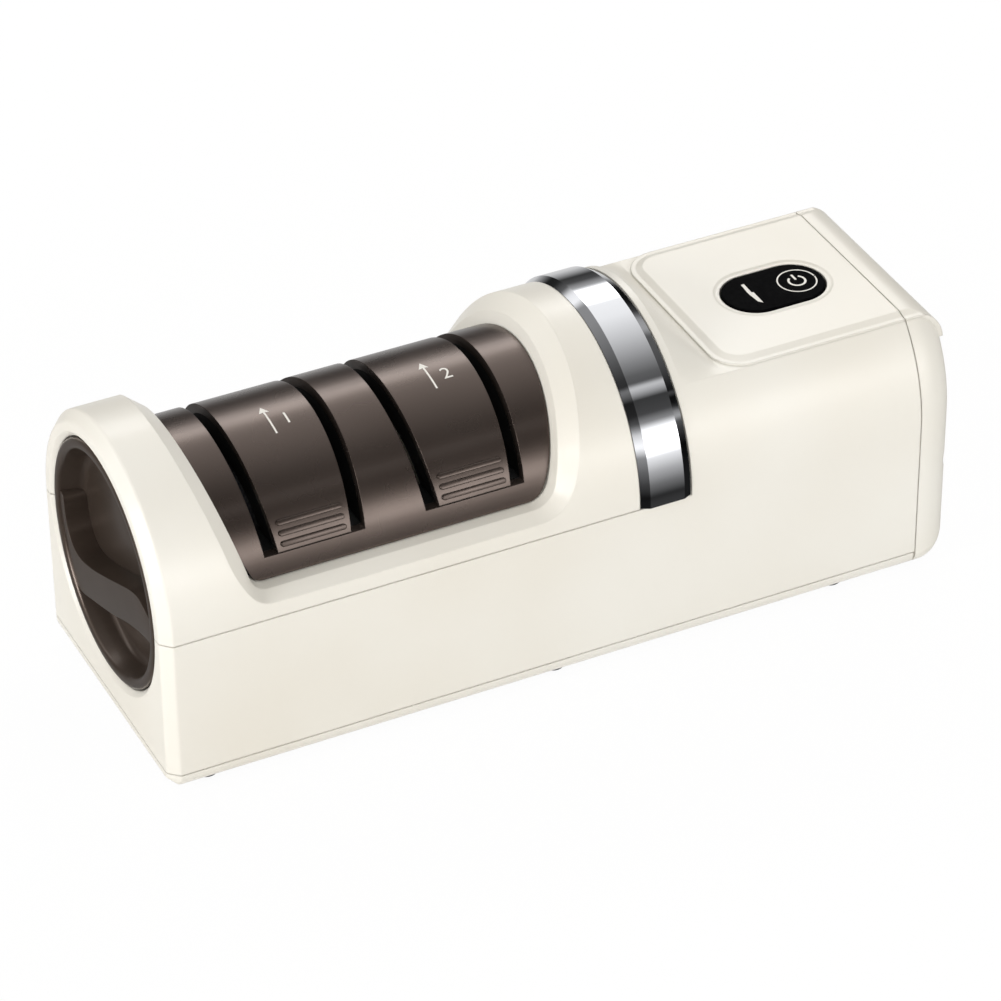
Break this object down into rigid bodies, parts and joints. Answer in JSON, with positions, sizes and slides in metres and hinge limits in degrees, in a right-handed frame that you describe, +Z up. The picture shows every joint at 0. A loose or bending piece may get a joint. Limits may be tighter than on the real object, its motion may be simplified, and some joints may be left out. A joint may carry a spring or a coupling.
{
  "type": "electric knife sharpener",
  "caption": "Tabletop electric knife sharpener with an arched slotted cover over powered grinding wheels, end turn knob with filings tray and an oval power key.",
  "frame": {"origin": "on the worktop, under the middle of the body (centre of the bounding box, at the bottom of the rubber feet)", "axes": "+X along the body from the turn-knob end to the rear cap, +Y across it, +Z up"},
  "size_m": [0.198, 0.0718, 0.0765],
  "materials": {
    "shell_cream": "glossy injection-moulded ABS, ivory with a soft pearl",
    "guide_brown": "satin dark brown metallic-effect ABS",
    "insert_black": "matt black nylon",
    "trim_chrome": "bright chromed ABS",
    "key_black": "black with a fine speckle",
    "foot_rubber": "matt rubber",
    "screw_steel": "zinc-plated steel",
    "shaft_steel": "ground steel",
    "wheel_grit": "bonded abrasive",
    "wheel_grit_fine": "fine ceramic abrasive",
    "bush_brass": "sintered bronze",
    "nylon_white": "natural nylon",
    "motor_steel": "zinc-plated can",
    "magnet_dark": "ferrite",
    "armature_copper": "lacquered windings",
    "board_green": "solder resist",
    "chip_black": "moulded epoxy",
    "lamp_clear": "clear lens",
    "cell_wrap": "shrink sleeve",
    "lead_pvc": "PVC insulation",
    "tray_grey": "moulded ABS"
  },
  "bodies": {
    "housing": {"base_plate": "shell_cream", "main_housing": "shell_cream", "upper_shell": "shell_cream", "rear_cap": "shell_cream", "trim_arch": "trim_chrome", "rubber_feet": "foot_rubber", "base_screws": "screw_steel", "cap_screws": "screw_steel", "board_screws": "screw_steel", "motor_can": "motor_steel", "motor_bearing": "bush_brass", "motor_end_bell": "insert_black", "motor_magnets": "magnet_dark", "bulkhead": "nylon_white", "motor_bracket": "motor_steel", "rear_bush": "bush_brass", "battery_cells": "cell_wrap", "battery_cradle": "nylon_white", "control_board": "board_green", "board_parts": "chip_black", "tact_switch": "chip_black", "indicator_lamps": "lamp_clear", "charging_socket": "screw_steel", "charging_board": "board_green", "motor_leads": "lead_pvc", "battery_leads": "lead_pvc"},
    "rotor": {"drive_shaft": "shaft_steel", "coarse_wheels": "wheel_grit", "fine_wheels": "wheel_grit_fine", "wheel_spacers": "nylon_white", "shaft_coupling": "nylon_white", "motor_spindle": "shaft_steel", "motor_armature": "armature_copper"},
    "cover": {"guide_cover": "guide_brown", "guide_block_coarse": "guide_brown", "guide_block_fine": "guide_brown", "guide_insert_coarse": "insert_black", "guide_insert_fine": "insert_black"},
    "key": {"power_key": "key_black", "key_plunger": "chip_black"},
    "tray": {"filings_tray": "tray_grey", "tray_magnet": "magnet_dark"},
    "knob": {"grip_knob": "guide_brown", "front_bush": "bush_brass", "knob_clip": "shaft_steel"}
  },
  "joints": [
    {"name": "rotor_spin", "type": "hinge", "parent": "housing", "child": "rotor", "pos_m": [0, 0, 0.0406], "axis": [1, 0, 0], "continuous": true},
    {"name": "cover_lift", "type": "slide", "parent": "housing", "child": "cover", "axis": [0, 0, 1], "range_m": [0, 0.06]},
    {"name": "key_press", "type": "slide", "parent": "housing", "child": "key", "axis": [0, 0, -1], "range_m": [0, 0.0005], "stiffness_N_per_m": 1500, "springref_m": -0.0005},
    {"name": "tray_pull", "type": "slide", "parent": "housing", "child": "tray", "axis": [-1, 0, 0], "range_m": [0, 0.11]},
    {"name": "knob_turn", "type": "hinge", "parent": "tray", "child": "knob", "pos_m": [0, 0, 0.0406], "axis": [1, 0, 0], "range_deg": [0, 90]}
  ]
}
